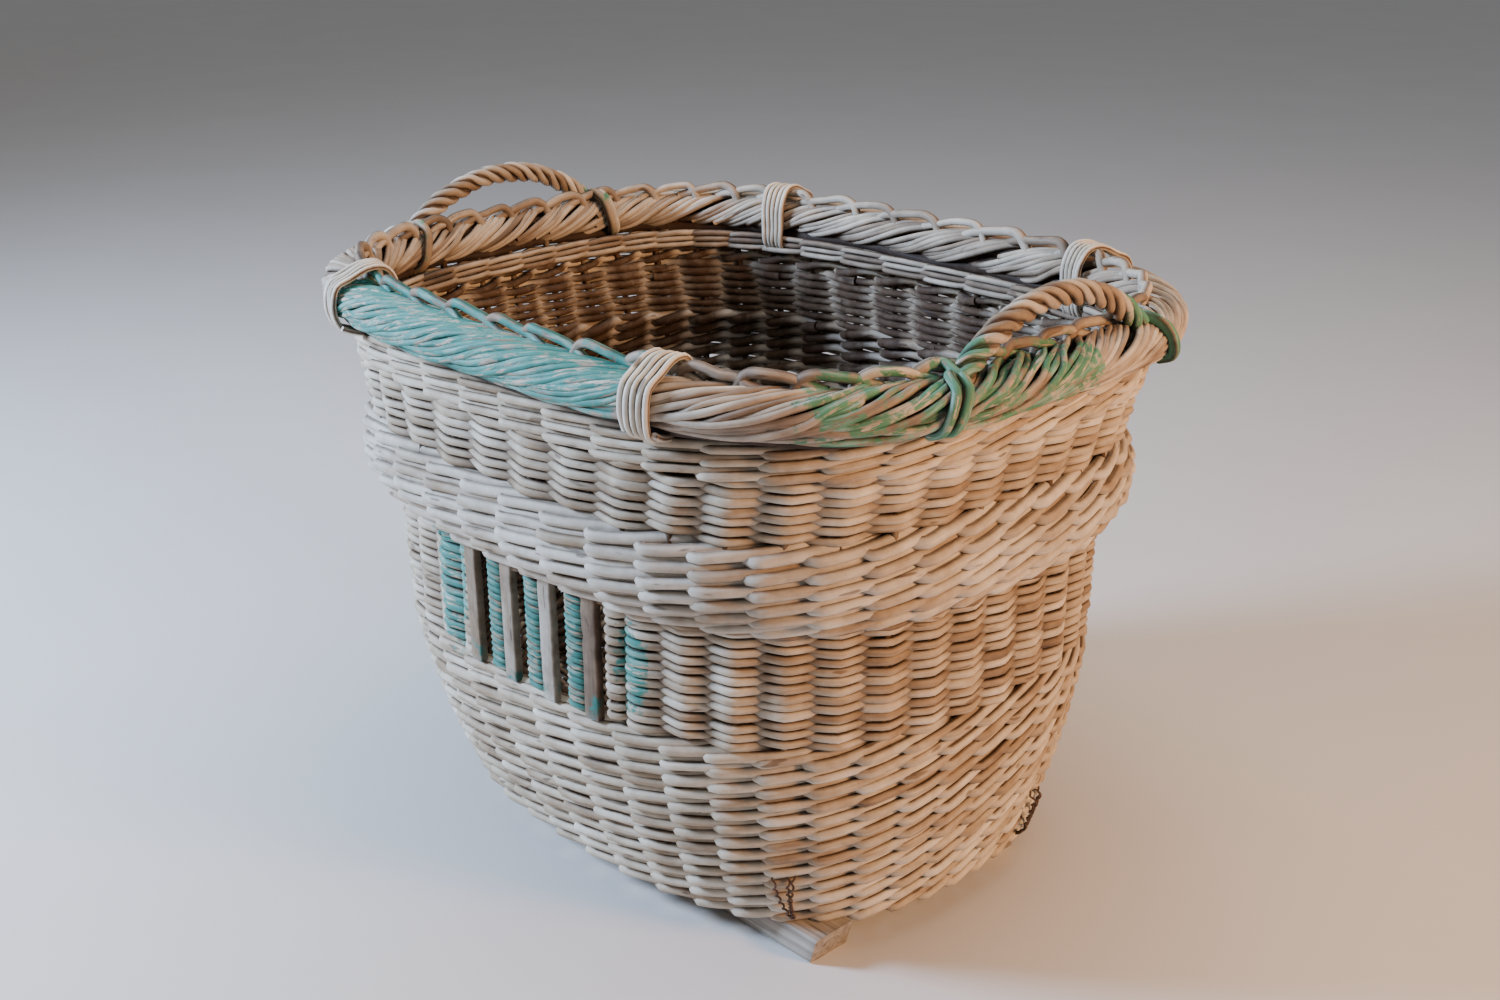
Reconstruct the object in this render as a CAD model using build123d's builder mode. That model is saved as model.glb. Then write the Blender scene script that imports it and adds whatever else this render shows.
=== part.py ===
"""Willow log basket of the grape-harvest type, on two wooden runners, with two rope-twisted handles.

Millimetres, +Z up, origin on the floor below the middle of the basket.
X runs along the basket's length and Y across it. The basket's front is its -Y side.
"""

import os
from collections import namedtuple
from math import atan2, cos, degrees, radians, sin

from build123d import *

# ---- the wall: ovals at rising heights, outer face ----
# z: height, a: half length, b: half width, n: squareness (2 is an ellipse, more is boxier)
Oval = namedtuple("Oval", "z a b n")
FOOT = Oval(30, 326, 241, 2.6)
LOWER_MIDDLE = Oval(136, 354, 281, 2.6)
LOWER_TOP = Oval(243, 368, 305, 2.6)
BELLY_FOOT = Oval(360, 367, 301, 2.8)
BELLY_CREST = Oval(404, 390, 330, 2.9)
BELLY_TOP = Oval(451, 377, 320, 3.0)
WEAVE_TOP = Oval(512, 393, 319, 3.1)
WALL_TOP = Oval(548, 403, 319, 3.2)
OUTLINE_POINTS = 48

wale_thickness = 24
weave_thickness = 19
weave_inset = 2.5

# ---- border: a thick roll that overhangs the wall, with a chain of single rods on its inner edge ----
BORDER_OUTSIDE = (
    Oval(548, 412, 327, 3.3),
    Oval(571, 430, 339, 3.3),
    Oval(594, 413, 322, 3.2),
)
BORDER_INSIDE = (
    Oval(548, 378, 292, 3.2),
    Oval(571, 374, 287, 3.1),
    Oval(594, 386, 296, 3.1),
)
chain_rod = 10
CHAIN_MIDDLE = Oval(599, 394, 303, 3.1)

# ---- stakes: the upright rods that everything is woven on ----
stake_diameter = 8
stake_inset = 12
side_stakes = 7
side_spacing = 60
end_stakes = 15
end_half_angle = radians(60.5)
end_bunching = 0.066

# ---- window in each long side: bare slats, open slots and narrow turned-back blocks of weave ----
slat_places = (-60, 0, 60, 120)
slat_width = 18
slat_depth = 9
slot_width = 14
window_height = BELLY_FOOT.z - LOWER_TOP.z

# ---- base and runners ----
base_thickness = 16
base_gap = 27
base_stick_diameter = 10
base_stick_count = 7
base_stick_spacing = 78
runner_length = 530
runner_middle = 33
runner_width = 50
runner_height = FOOT.z
runner_end_slant = 9
runner_front_offset = 155
runner_back_offset = 95
tie_front_place = 262
tie_back_place = 314
tie_wire = 3.5
tie_height = 66

# ---- bindings over the border ----
binding_place = 228
binding_width = 32
binding_thickness = 4

# ---- handles: a bow over each short end ----
handle_place = 400
handle_half_span = 118
handle_rise = 45
handle_core = 12
handle_diameter = 22


def oval_point(oval, angle, inset=0.0):
    """Point on an oval, where the angle is taken after squeezing the oval to a square of side 2."""
    reach = (abs(cos(angle)) ** oval.n + abs(sin(angle)) ** oval.n) ** (-1 / oval.n)
    return ((oval.a - inset) * reach * cos(angle), (oval.b - inset) * reach * sin(angle), oval.z)


def front_angle(oval, x):
    """Angle of the point of an oval's front (-Y) side at a place x along the basket."""
    return atan2(-((1 - abs(x / oval.a) ** oval.n) ** (1 / oval.n)), x / oval.a)


def between(low, high, z):
    """Oval at height z on the straight flank between two ovals."""
    part = (z - low.z) / (high.z - low.z)
    return Oval(*(p + (q - p) * part for p, q in zip(low, high)))


def oval_face(oval, inset=0.0):
    """Filled oval at its own height."""
    turns = [radians(360 * k / OUTLINE_POINTS) for k in range(OUTLINE_POINTS)]
    with BuildSketch(Plane.XY.offset(oval.z)) as face:
        with BuildLine():
            Spline(*[oval_point(oval, turn, inset)[:2] for turn in turns], periodic=True)
        make_face()
    return face.sketch


def oval_stack(ovals, inset=0.0):
    return [oval_face(oval, inset) for oval in ovals]


def finish(piece, name):
    """Label a finished piece and write its file."""
    piece.part.label = name
    export_step(piece.part, f"parts/{name}.step")


os.makedirs("parts", exist_ok=True)

# ---- runners: two sawn battens under the base, longer on top than below ----
half_top = runner_length / 2
half_foot = half_top - runner_end_slant
for name, across in (("runner_front", -runner_front_offset), ("runner_back", runner_back_offset)):
    with BuildPart() as runner:
        with BuildSketch(Plane.XZ.offset(-across - runner_width / 2)):
            with BuildLine():
                Polyline(
                    (runner_middle - half_foot, 0),
                    (runner_middle + half_foot, 0),
                    (runner_middle + half_top, runner_height),
                    (runner_middle - half_top, runner_height),
                    close=True,
                )
            make_face()
        extrude(amount=runner_width)
    finish(runner, name)

# ---- wire ties: one over the foot of the wall above the right end of each runner ----
tie_crown = between(FOOT, LOWER_MIDDLE, FOOT.z + tie_height)
with BuildPart() as runner_ties:
    for angle in (front_angle(FOOT, tie_front_place), -front_angle(FOOT, tie_back_place)):
        with BuildSketch(Plane(origin=oval_point(FOOT, angle))):
            Circle(tie_wire / 2)
        with BuildSketch(Plane(origin=oval_point(tie_crown, angle))):
            Circle(tie_wire / 2)
        loft()
finish(runner_ties, "runner_ties")

# ---- window slats: square bars that take the place of four stakes in each long side ----
slat_line = between(LOWER_TOP, BELLY_FOOT, (LOWER_TOP.z + BELLY_FOOT.z) / 2)


def slat_plane(x):
    """Plane at the foot of a slat, its x along the wall and its y towards the inside of the basket."""
    here = Vector(*oval_point(slat_line, front_angle(slat_line, x)))
    ahead = Vector(*oval_point(slat_line, front_angle(slat_line, x + 1)))
    return Plane(origin=(here.X, here.Y, LOWER_TOP.z), x_dir=(ahead - here).normalized(), z_dir=(0, 0, 1))


with BuildPart() as window_slats_front:
    for place in slat_places:
        with BuildSketch(slat_plane(place)):
            Rectangle(slat_width, slat_depth, align=(Align.CENTER, Align.MIN))
        extrude(amount=window_height)
finish(window_slats_front, "window_slats_front")

with BuildPart() as window_slats_back:
    add(window_slats_front.part.rotate(Axis.Z, 180))
finish(window_slats_back, "window_slats_back")

# ---- stakes ----
side_places = [side_spacing * (k - (side_stakes - 1) / 2) for k in range(side_stakes)]
side_angles = [front_angle(BELLY_TOP, x) for x in side_places]
end_turns = [2 * k / (end_stakes - 1) - 1 for k in range(end_stakes)]
end_angles = [end_half_angle * turn * (1 - end_bunching * turn**2) for turn in end_turns]
stake_angles = side_angles + end_angles
stake_angles += [angle + radians(180) for angle in stake_angles]
slat_angles = [front_angle(BELLY_TOP, x) for x in slat_places]
slat_angles += [angle + radians(180) for angle in slat_angles]
STAKE_LEVELS = (FOOT, LOWER_MIDDLE, LOWER_TOP, BELLY_FOOT, BELLY_TOP, WEAVE_TOP, WALL_TOP)
block_places = [
    (left + slat_width / 2 + slot_width + right - slat_width / 2) / 2
    for left, right in zip(slat_places, slat_places[1:])
]
block_width = side_spacing - slat_width - slot_width


def stake_rod(angle):
    """One stake, in straight runs from level to level of the wall, with no run where a slat stands."""
    nodes = [Vector(*oval_point(level, angle, stake_inset)) for level in STAKE_LEVELS]
    runs = []
    for low, high in zip(nodes, nodes[1:]):
        if angle in slat_angles and low.Z == LOWER_TOP.z:
            continue
        with BuildSketch(Plane(origin=low)) as ring:
            Circle(stake_diameter / 2)
        rise = high - low
        runs.append(extrude(ring.sketch, amount=rise.length, dir=rise))
    return runs


def stake_stub(place, turn):
    """Short stake inside one of the narrow window blocks."""
    foot = Vector(*oval_point(slat_line, front_angle(slat_line, place), stake_inset))
    with BuildSketch(Plane(origin=Vector(foot.X, foot.Y, LOWER_TOP.z).rotate(Axis.Z, turn))) as ring:
        Circle(stake_diameter / 2)
    return extrude(ring.sketch, amount=window_height)


stake_runs = [run for angle in stake_angles for run in stake_rod(angle)]
stake_stubs = [stake_stub(place, turn) for turn in (0, 180) for place in block_places]
with BuildPart() as stakes:
    add(stake_runs)
    add(stake_stubs)
finish(stakes, "stakes")

# ---- base: sticks across the basket with a flat weave around them ----
base_oval = Oval(FOOT.z, FOOT.a - base_gap, FOOT.b - base_gap, FOOT.n)
stick_height = FOOT.z + base_thickness / 2
with BuildPart() as base_sticks:
    for k in range(base_stick_count):
        x = base_stick_spacing * (k - (base_stick_count - 1) / 2)
        half = -oval_point(base_oval, front_angle(base_oval, x))[1] - stake_diameter
        with BuildSketch(Plane(origin=(x, half, stick_height), z_dir=(0, -1, 0))):
            Circle(base_stick_diameter / 2)
        extrude(amount=2 * half)
finish(base_sticks, "base_sticks")

with BuildPart() as base_weave:
    add(oval_face(base_oval))
    extrude(amount=base_thickness)
    add(base_sticks.part, mode=Mode.SUBTRACT)
finish(base_weave, "base_weave")

# ---- lower wale: the rounded foot of the wall ----
LOWER_FLANK = (FOOT, LOWER_MIDDLE, LOWER_TOP)
with BuildPart() as lower_wale:
    loft(oval_stack(LOWER_FLANK))
    loft(oval_stack(LOWER_FLANK, wale_thickness), mode=Mode.SUBTRACT)
    add(stakes.part, mode=Mode.SUBTRACT)
    add(runner_ties.part, mode=Mode.SUBTRACT)
finish(lower_wale, "lower_wale")

# ---- middle weave: thin rods, left out where the windows are ----
MIDDLE_FLANK = (LOWER_TOP, BELLY_FOOT)
zone_start = slat_places[0] - slat_width / 2
zone_end = slat_places[-1] + slat_width / 2 + slot_width
zone_depth = 2 * LOWER_TOP.b
with BuildPart() as weave_ring:
    loft(oval_stack(MIDDLE_FLANK, weave_inset))
    loft(oval_stack(MIDDLE_FLANK, weave_inset + weave_thickness), mode=Mode.SUBTRACT)


def through_wall(x, turn):
    """Place of a sketch that reaches out from the middle of the basket through one long side."""
    return Location((0, 0, 0), (0, 0, turn)) * Pos(x, -zone_depth / 2)


with BuildPart() as middle_weave:
    add(weave_ring.part)
    add(stakes.part, mode=Mode.SUBTRACT)
    with BuildSketch(Plane.XY.offset(LOWER_TOP.z)):
        with Locations(*[through_wall((zone_start + zone_end) / 2, turn) for turn in (0, 180)]):
            Rectangle(zone_end - zone_start, zone_depth)
    extrude(amount=window_height, mode=Mode.SUBTRACT)
finish(middle_weave, "middle_weave")

# ---- narrow blocks of weave between the slots ----
for name, turn, slats in (
    ("window_blocks_front", 0, window_slats_front),
    ("window_blocks_back", 180, window_slats_back),
):
    with BuildPart() as window_blocks:
        with BuildSketch(Plane.XY.offset(LOWER_TOP.z)):
            with Locations(*[through_wall(place, turn) for place in block_places]):
                Rectangle(block_width, zone_depth)
        extrude(amount=window_height)
        add(weave_ring.part, mode=Mode.INTERSECT)
        add(stake_stubs, mode=Mode.SUBTRACT)
        add(slats.part, mode=Mode.SUBTRACT)
    finish(window_blocks, name)

# ---- belly wale: thick rods that swell out around the basket ----
BELLY_FLANK = (BELLY_FOOT, BELLY_CREST, BELLY_TOP)
BELLY_INSIDE = (BELLY_FOOT, between(BELLY_FOOT, BELLY_TOP, BELLY_CREST.z), BELLY_TOP)
with BuildPart() as belly_wale:
    loft(oval_stack(BELLY_FLANK))
    loft(oval_stack(BELLY_INSIDE, wale_thickness), mode=Mode.SUBTRACT)
    add(stakes.part, mode=Mode.SUBTRACT)
finish(belly_wale, "belly_wale")

# ---- upper weave: thin rods again ----
UPPER_FLANK = (BELLY_TOP, WEAVE_TOP)
with BuildPart() as upper_weave:
    loft(oval_stack(UPPER_FLANK, weave_inset))
    loft(oval_stack(UPPER_FLANK, weave_inset + weave_thickness), mode=Mode.SUBTRACT)
    add(stakes.part, mode=Mode.SUBTRACT)
finish(upper_weave, "upper_weave")

# ---- top wale: the thick rows under the border ----
TOP_FLANK = (WEAVE_TOP, WALL_TOP)
with BuildPart() as top_wale:
    loft(oval_stack(TOP_FLANK))
    loft(oval_stack(TOP_FLANK, wale_thickness), mode=Mode.SUBTRACT)
    add(stakes.part, mode=Mode.SUBTRACT)
finish(top_wale, "top_wale")

# ---- border ----
with BuildPart() as border:
    loft(oval_stack(BORDER_OUTSIDE))
    loft(oval_stack(BORDER_INSIDE), mode=Mode.SUBTRACT)
finish(border, "border")

chain_base = CHAIN_MIDDLE._replace(z=BORDER_OUTSIDE[-1].z)
chain_crown = CHAIN_MIDDLE._replace(z=BORDER_OUTSIDE[-1].z + chain_rod)
CHAIN_OUTSIDE = oval_stack((chain_base,), 1) + oval_stack((CHAIN_MIDDLE,)) + oval_stack((chain_crown,), 3)
CHAIN_INSIDE = (
    oval_stack((chain_base,), chain_rod - 1)
    + oval_stack((CHAIN_MIDDLE,), chain_rod)
    + oval_stack((chain_crown,), chain_rod - 3)
)
with BuildPart() as border_chain:
    loft(CHAIN_OUTSIDE)
    loft(CHAIN_INSIDE, mode=Mode.SUBTRACT)
finish(border_chain, "border_chain")

# ---- bindings: rod wound over the border at four places ----
chain_rise = chain_crown.z - BORDER_OUTSIDE[-1].z
with BuildPart() as binding_ring:
    loft(oval_stack(BORDER_OUTSIDE, -binding_thickness))
    extrude(oval_face(BORDER_OUTSIDE[-1], -binding_thickness), amount=chain_rise + binding_thickness)
    loft(oval_stack(BORDER_INSIDE, binding_thickness), mode=Mode.SUBTRACT)
    extrude(
        oval_face(BORDER_INSIDE[-1], binding_thickness + 2),
        amount=chain_rise + binding_thickness,
        mode=Mode.SUBTRACT,
    )
    add(border.part, mode=Mode.SUBTRACT)
    add(border_chain.part, mode=Mode.SUBTRACT)

for name, along, across in (
    ("binding_front_left", -1, -1),
    ("binding_front_right", 1, -1),
    ("binding_back_left", -1, 1),
    ("binding_back_right", 1, 1),
):
    with BuildPart() as binding:
        with Locations((along * binding_place, across * WALL_TOP.b, WALL_TOP.z)):
            Box(
                binding_width,
                WALL_TOP.b,
                WALL_TOP.b,
                align=(Align.CENTER, Align.CENTER, Align.MIN),
            )
        add(binding_ring.part, mode=Mode.INTERSECT)
    finish(binding, name)

# ---- handles: a core bow over each short end, wrapped by a twist of rods ----
bow_radius = (handle_half_span**2 + handle_rise**2) / (2 * handle_rise)
bow_apex = BORDER_OUTSIDE[-1].z + handle_rise
bow_centre = bow_apex - bow_radius
bow_reach = radians(46)


def bow(diameter, along):
    """Bow over one end: part of a round ring about a level axis, ending inside the border."""
    foot = Plane(
        origin=(
            along * handle_place,
            -bow_radius * sin(bow_reach),
            bow_centre + bow_radius * cos(bow_reach),
        ),
        x_dir=(1, 0, 0),
        z_dir=(0, cos(bow_reach), sin(bow_reach)),
    )
    with BuildSketch(foot) as section:
        Circle(diameter / 2)
    axis = Axis((0, 0, bow_centre), (-1, 0, 0))
    return revolve(section.sketch, axis=axis, revolution_arc=2 * degrees(bow_reach))


for end, along in (("left", -1), ("right", 1)):
    core_bow = bow(handle_core, along)
    twist_bow = bow(handle_diameter, along)
    with BuildPart() as handle_core_part:
        add(core_bow)
        add(border.part, mode=Mode.SUBTRACT)
    finish(handle_core_part, f"handle_{end}_core")

    with BuildPart() as handle_twist_part:
        add(twist_bow)
        add(core_bow, mode=Mode.SUBTRACT)
        add(border.part, mode=Mode.SUBTRACT)
        add(border_chain.part, mode=Mode.SUBTRACT)
    finish(handle_twist_part, f"handle_{end}_twist")
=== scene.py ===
"""Wicker log basket: every willow rod of the wall, the border, the bindings and the handles, in metres."""

from math import cos, radians, sin

import bpy
import numpy as np
from mathutils import Matrix, Vector


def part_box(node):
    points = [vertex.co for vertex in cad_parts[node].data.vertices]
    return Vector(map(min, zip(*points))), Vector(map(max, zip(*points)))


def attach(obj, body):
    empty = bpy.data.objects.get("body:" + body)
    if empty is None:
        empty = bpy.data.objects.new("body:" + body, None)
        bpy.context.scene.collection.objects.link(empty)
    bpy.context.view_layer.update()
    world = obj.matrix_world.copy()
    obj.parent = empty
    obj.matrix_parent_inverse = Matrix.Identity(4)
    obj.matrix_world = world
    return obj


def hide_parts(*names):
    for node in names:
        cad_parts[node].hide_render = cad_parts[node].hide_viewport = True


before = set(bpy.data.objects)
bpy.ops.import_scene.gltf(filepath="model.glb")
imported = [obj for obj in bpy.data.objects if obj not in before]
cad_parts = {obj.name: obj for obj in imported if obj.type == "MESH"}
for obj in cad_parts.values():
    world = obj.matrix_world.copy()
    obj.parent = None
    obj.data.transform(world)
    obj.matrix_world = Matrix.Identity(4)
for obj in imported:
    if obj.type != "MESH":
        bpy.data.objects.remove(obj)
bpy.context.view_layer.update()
random = np.random.default_rng(41)
MM = 0.001
UP = np.array([0.0, 0.0, 1.0])


# ---------------------------------------------------------------- the wall, read from the CAD model


def half_sizes(name, z):
    """Half length and half width of a CAD node where a level plane at height z cuts its edges."""
    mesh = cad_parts[name].data
    points = np.zeros(len(mesh.vertices) * 3)
    mesh.vertices.foreach_get("co", points)
    points = points.reshape(-1, 3)
    ends = np.zeros(len(mesh.edges) * 2, dtype=np.int32)
    mesh.edges.foreach_get("vertices", ends)
    low, high = points[ends[0::2]], points[ends[1::2]]
    crossing = (low[:, 2] - z) * (high[:, 2] - z) < 0
    low, high = low[crossing], high[crossing]
    part = ((z - low[:, 2]) / (high[:, 2] - low[:, 2]))[:, None]
    cut = np.abs(low + (high - low) * part)
    return cut[:, 0].max(), cut[:, 1].max()


EDGE = 0.4 * MM
LOWER_FOOT, LOWER_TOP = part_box("lower_wale")[0][2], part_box("lower_wale")[1][2]
BELLY_FOOT, BELLY_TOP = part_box("belly_wale")[0][2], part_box("belly_wale")[1][2]
RIM_FOOT, RIM_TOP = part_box("top_wale")[0][2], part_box("top_wale")[1][2]
wall_heights = []
wall_halves = []
for node, foot, top in (
    ("lower_wale", LOWER_FOOT, LOWER_TOP),
    ("belly_wale", BELLY_FOOT, BELLY_TOP),
    ("top_wale", RIM_FOOT, RIM_TOP),
):
    for height in np.linspace(foot + EDGE, top - EDGE, 15):
        wall_heights.append(height)
        wall_halves.append(half_sizes(node, height))
wall_halves = np.array(wall_halves)
# Squareness of the oval: 2 is an ellipse, more is boxier.
SQUARE_HEIGHTS = (LOWER_TOP, BELLY_FOOT, BELLY_TOP, RIM_TOP)
SQUARENESS = (2.6, 2.8, 3.0, 3.2)


def oval(a, b, n, angle):
    """Points of an oval and its outward normals, where the angle is taken after squeezing it to a square."""
    c, s = np.cos(angle), np.sin(angle)
    reach = (np.abs(c) ** n + np.abs(s) ** n) ** (-1 / n)
    x, y = reach * c, reach * s
    points = np.stack([a * x, b * y, np.zeros_like(x)], -1)
    normals = np.stack([np.sign(x) * np.abs(x) ** (n - 1) / a, np.sign(y) * np.abs(y) ** (n - 1) / b], -1)
    normals /= np.linalg.norm(normals, axis=-1)[..., None]
    return points, np.concatenate([normals, np.zeros_like(x)[..., None]], -1)


def wall(angle, z, inset):
    """Points inside the wall's outer face by an inset, and the outward normals there."""
    angle, z, inset = np.broadcast_arrays(angle, z, inset)
    a = np.interp(z, wall_heights, wall_halves[:, 0])
    b = np.interp(z, wall_heights, wall_halves[:, 1])
    points, normals = oval(a, b, np.interp(z, SQUARE_HEIGHTS, SQUARENESS), angle)
    points = points - normals * inset[..., None]
    points[..., 2] = z
    return points, normals


def front_angle(x, z):
    """Angle of the point of the wall's front side at a place x along the basket."""
    a = np.interp(z, wall_heights, wall_halves[:, 0])
    n = np.interp(z, SQUARE_HEIGHTS, SQUARENESS)
    return np.arctan2(-((1 - abs(x / a) ** n) ** (1 / n)), x / a)


# Stakes stand 60 mm apart along the sides and a little closer round the ends. They are counted
# anticlockwise from the left end of the front side, and a station is a place in that count.
SIDE_STAKES = 7
SIDE_SPACING = 60 * MM
END_STAKES = 15
END_HALF_ANGLE = radians(60.5)
END_BUNCHING = 0.066
side_places = SIDE_SPACING * (np.arange(SIDE_STAKES) - (SIDE_STAKES - 1) / 2)
side_angles = np.array([front_angle(x, BELLY_TOP) for x in side_places])
end_turns = np.linspace(-1, 1, END_STAKES)
end_angles = END_HALF_ANGLE * end_turns * (1 - END_BUNCHING * end_turns**2)


def both_halves(angles):
    """The angles, and then the same half a turn round the basket."""
    return np.concatenate([angles, angles + np.pi])


stake_angles = both_halves(np.concatenate([side_angles, end_angles]))
STATIONS = len(stake_angles)


def angle_at(station):
    """Wall angle at a station, which may be fractional and go round more than once."""
    turns, rest = np.divmod(station, STATIONS)
    known = np.append(stake_angles, stake_angles[0] + 2 * np.pi)
    return np.interp(rest, np.arange(STATIONS + 1), known) + 2 * np.pi * turns


def station_of(x):
    """Station number of a place x on the front side."""
    return (x - side_places[0]) / SIDE_SPACING


# ---------------------------------------------------------------- rods


def smooth(x):
    """Eases from 0 to 1 as x goes from 0 to 1."""
    x = np.clip(x, 0, 1)
    return x * x * (3 - 2 * x)


def glide(keys, count):
    """Evenly spaced points on a smooth line through key points (Catmull-Rom)."""
    keys = np.asarray(keys, dtype=float)
    padded = np.vstack([2 * keys[0] - keys[1], keys, 2 * keys[-1] - keys[-2]])
    place = np.linspace(0, len(keys) - 1 - 1e-6, count)
    k = place.astype(int)
    t = (place - k)[:, None]
    p0, p1, p2, p3 = padded[k], padded[k + 1], padded[k + 2], padded[k + 3]
    curve = (2 * p0 - 5 * p1 + 4 * p2 - p3) * t**2 + (3 * p1 - p0 - 3 * p2 + p3) * t**3
    return 0.5 * (2 * p1 + (p2 - p0) * t + curve)


def waver(stations, size, step=1.0):
    """Smooth random drift along a rod, about size large, that changes over a number of stations."""
    knots = np.arange(np.floor(stations.min() / step) - 1, np.ceil(stations.max() / step) + 2)
    return np.interp(stations / step, knots, random.normal(0, size, len(knots)))


class Piece:
    """Rods gathered into one mesh, with what the material needs to know at each point of them.

    sides is the number of sides of a rod's section, crease how much painted shade the rods get on the sides
    that turn towards their neighbours, and soft whether the surface is shaded as round instead of in flat
    faces.
    """

    def __init__(self, name, sides=8, crease=0.95, soft=True):
        self.name = name
        self.sides = sides
        self.crease = crease
        self.soft = soft
        self.rods = []

    def rod(self, points, radius, out=UP, tone=None, paint=0.0, depth=0.0, section=None):
        """Adds a rod along points. out is the direction that the first side of its section faces.

        tone is the rod's own shade from 0 to 1, paint how much paint it kept, and depth how far
        it lies in the weave, from 0 on the surface to 1, which the material draws as painted shade.
        A section is an array of (out, across) pairs.
        """
        points = np.asarray(points, dtype=float)
        count = len(points)
        tangent = np.gradient(points, axis=0)
        tangent /= np.linalg.norm(tangent, axis=1)[:, None] + 1e-12
        out = np.broadcast_to(out, points.shape)
        out = out - tangent * (out * tangent).sum(1)[:, None]
        out = out / (np.linalg.norm(out, axis=1)[:, None] + 1e-12)
        across = np.cross(tangent, out)
        turns = 2 * np.pi * np.arange(self.sides) / self.sides
        radius = np.broadcast_to(radius, (count,))[:, None]
        tip = radius[[0, -1]] * (0.25 if section is None else 0.0)
        if section is None:
            section = np.stack([np.cos(turns), np.sin(turns)], -1)
        ring = out[:, None] * section[:, 0, None] + across[:, None] * section[:, 1, None]
        skin = points[:, None] + ring * radius[..., None]
        caps = points[[0, -1]] + np.array([[-1.0], [1.0]]) * tangent[[0, -1]] * tip
        tone = random.random() if tone is None else tone
        length = np.concatenate([[0], np.cumsum(np.linalg.norm(np.diff(points, axis=0), axis=1))])
        # Painted shade: the sides of the section that turn away from out get more depth, so they come out
        # darker where rods press against their neighbours.
        turned_away = 1 - np.abs(section[:, 0]) / np.abs(section).max()
        depth = np.broadcast_to(depth, (count,))[:, None] + self.crease * turned_away**2
        start = random.random() * 90
        across_grain = section[None] * radius[..., None]
        along_grain = np.broadcast_to((start + length)[:, None, None], (count, len(section), 1))
        grain = np.concatenate([along_grain, across_grain], -1)
        self.rods.append(
            dict(
                skin=skin,
                caps=caps,
                length=length,
                grain=grain,
                girth=float(2 * np.pi * radius.mean() * np.abs(section).max()),
                tone=np.broadcast_to(tone, (count,)),
                paint=np.broadcast_to(paint, (count,)),
                depth=np.minimum(depth, 1.0),
            )
        )

    def build(self, material, nodes, slot):
        """Makes the mesh, with a texture layout of strips that follow the rods."""
        total = sum(rod["length"][-1] for rod in self.rods)
        girth = sum(rod["girth"] * rod["length"][-1] for rod in self.rods) / total
        strips = int(np.ceil(np.sqrt(total / girth)))
        strip = total / strips + max(np.diff(rod["length"]).max() for rod in self.rods) + 2 * MM
        vertices, grain, tone, paint, depth = [], [], [], [], []
        corners, sizes, layout = [], [], []
        base, along = 0, 0.0
        for rod in self.rods:
            count, sides = rod["skin"].shape[:2]
            cap_grain = rod["grain"][[0, -1]].mean(1)
            vertices += [rod["skin"].reshape(-1, 3), rod["caps"]]
            grain += [rod["grain"].reshape(-1, 3), cap_grain]
            for store, name in ((tone, "tone"), (paint, "paint")):
                store += [np.repeat(rod[name], sides), rod[name][[0, -1]]]
            depth += [rod["depth"].ravel(), rod["depth"][[0, -1]].mean(1)]
            i, k = np.meshgrid(np.arange(count - 1), np.arange(sides), indexing="ij")
            a = base + i * sides + k
            b = base + i * sides + (k + 1) % sides
            quads = np.stack([a, a + sides, b + sides, b], -1).reshape(-1, 4)
            place = along + rod["length"]
            row = np.floor(0.5 * (place[i] + place[i + 1]) / strip)
            u0 = np.clip((place[i] - row * strip) / strip, 0, 1)
            u1 = np.clip((place[i + 1] - row * strip) / strip, 0, 1)
            v0 = (row + 0.06 + 0.88 * k / sides) / strips
            v1 = (row + 0.06 + 0.88 * (k + 1) / sides) / strips
            uv = np.stack([u0, v0, u1, v0, u1, v1, u0, v1], -1).reshape(-1, 2)
            corners.append(quads.ravel())
            sizes.append(np.full(len(quads), 4))
            layout.append(uv)
            for end, centre in ((0, base + count * sides), (count - 1, base + count * sides + 1)):
                k = np.arange(sides)
                first = base + end * sides + k
                second = base + end * sides + (k + 1) % sides
                ring = (second, first) if end == 0 else (first, second)
                fan = np.stack([*ring, np.full(sides, centre)], -1)
                row = np.floor(place[end] / strip)
                u = np.clip((place[end] - row * strip) / strip, 0, 1)
                v = np.minimum((row + 0.5) / strips, 1)
                corners.append(fan.ravel())
                sizes.append(np.full(sides, 3))
                layout.append(np.stack([np.full(3 * sides, u), np.full(3 * sides, v)], -1))
            base += count * sides + 2
            along += rod["length"][-1]
        mesh = bpy.data.meshes.new(self.name)
        mesh.vertices.add(base)
        mesh.vertices.foreach_set("co", np.concatenate(vertices).ravel())
        corners, sizes = np.concatenate(corners), np.concatenate(sizes)
        mesh.loops.add(len(corners))
        mesh.loops.foreach_set("vertex_index", corners)
        mesh.polygons.add(len(sizes))
        mesh.polygons.foreach_set("loop_start", np.concatenate([[0], np.cumsum(sizes)[:-1]]))
        mesh.polygons.foreach_set("use_smooth", np.full(len(sizes), self.soft))
        mesh.uv_layers.new(name="OFBake").data.foreach_set("uv", np.concatenate(layout).ravel())
        for name, values in (("tone", tone), ("paint", paint), ("depth", depth)):
            mesh.attributes.new(name, "FLOAT", "POINT").data.foreach_set("value", np.concatenate(values))
        grain_layer = mesh.attributes.new("grain", "FLOAT_VECTOR", "POINT")
        grain_layer.data.foreach_set("vector", np.concatenate(grain).ravel())
        mesh.update(calc_edges=True)
        mesh.validate()
        mesh.materials.append(material)
        piece = bpy.data.objects.new(self.name, mesh)
        bpy.context.scene.collection.objects.link(piece)
        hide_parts(*nodes)
        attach(piece, "root")
        return piece


# ---------------------------------------------------------------- materials


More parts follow.
